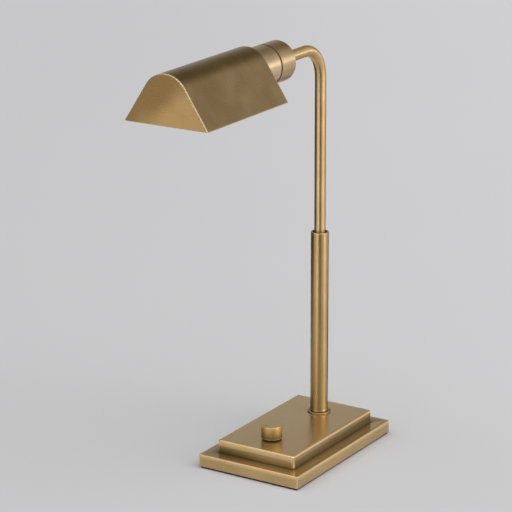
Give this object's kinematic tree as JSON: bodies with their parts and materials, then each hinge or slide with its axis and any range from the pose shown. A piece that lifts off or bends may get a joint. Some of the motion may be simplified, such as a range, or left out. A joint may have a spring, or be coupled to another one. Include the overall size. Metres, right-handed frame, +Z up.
{
  "type": "adjustable desk lamp",
  "caption": "Brass desk lamp: stepped slab base with a dimmer knob, telescopic post with a cranked arm, and a closed-end trough shade that turns about the arm.",
  "frame": {"origin": "middle of the base's underside, on the surface it stands on", "axes": "+Z up along the post, -Y forward to where the shade points, +X to the right as seen from the front"},
  "size_m": [0.102, 0.2801, 0.3841],
  "materials": {
    "felt": "black felt",
    "steel": "zinc plated",
    "aged_brass": "satin, aged and lacquered",
    "rubber": "black rubber",
    "cream_plastic": "moulded",
    "bare_brass": "turned",
    "dark_plastic": "moulded",
    "board": "circuit board",
    "core_sleeve": "insulated core",
    "black_flex": "two-core lead",
    "nylon": "natural nylon",
    "fibre": "red fibre",
    "white_moulding": "moulded",
    "bulb_metal": "spun cap",
    "bulb_glass": "clear",
    "filament": "filament sticks"
  },
  "bodies": {
    "base": {"felt_pad": "felt", "bottom_cover": "steel", "cover_screws": "steel", "plinth": "aged_brass", "tier_screws": "steel", "upper_tier": "aged_brass", "inlet_grommet": "rubber", "terminal_block": "cream_plastic", "terminal_screws": "bare_brass", "dimmer_body": "dark_plastic", "dimmer_board": "board", "dimmer_washer": "steel", "dimmer_nut": "steel", "dimmer_leads": "core_sleeve", "post_collar": "aged_brass", "post_plug": "bare_brass", "post_washer": "steel", "post_nut": "steel", "post_tube": "aged_brass", "guide_bush": "aged_brass", "lamp_lead": "black_flex", "curly_lead": "black_flex"},
    "dimmer": {"dimmer_shaft": "steel", "knob": "aged_brass", "knob_screw": "steel"},
    "glide": {"glide_sleeve": "nylon", "friction_rings": "rubber"},
    "arm": {"swivel_pin": "steel", "arm_tube": "aged_brass", "arm_lead": "black_flex", "rear_cup": "aged_brass", "cup_washer": "steel", "tube_nuts": "bare_brass", "stop_plate": "steel", "fibre_washers": "fibre", "wave_washer": "steel", "holder_cap": "white_moulding", "holder_body": "white_moulding", "holder_shell": "bare_brass", "holder_contact": "bare_brass", "bulb_cap": "bulb_metal", "bulb_glass": "bulb_glass", "bulb_filament": "filament"},
    "head": {"front_cup": "aged_brass", "shade_rear_plate": "aged_brass", "shade_wrap": "aged_brass", "shade_front_plate": "aged_brass", "shade_ring_nut": "bare_brass"}
  },
  "joints": [
    {"name": "height_slide", "type": "slide", "parent": "base", "child": "glide", "axis": [0, 0, 1], "range_m": [-0.06, 0.025], "deforming": ["curly_lead"]},
    {"name": "arm_swivel", "type": "hinge", "parent": "glide", "child": "arm", "pos_m": [0, 0.0405, 0.15], "axis": [0, 0, 1], "range_deg": [-150, 150]},
    {"name": "shade_tilt", "type": "hinge", "parent": "arm", "child": "head", "pos_m": [0, -0.0515, 0.3629], "axis": [0, 1, 0], "range_deg": [-90, 90]},
    {"name": "dimmer_turn", "type": "hinge", "parent": "base", "child": "dimmer", "pos_m": [0, -0.0405, 0.03], "axis": [0, 0, 1], "range_deg": [-300, 0]}
  ]
}
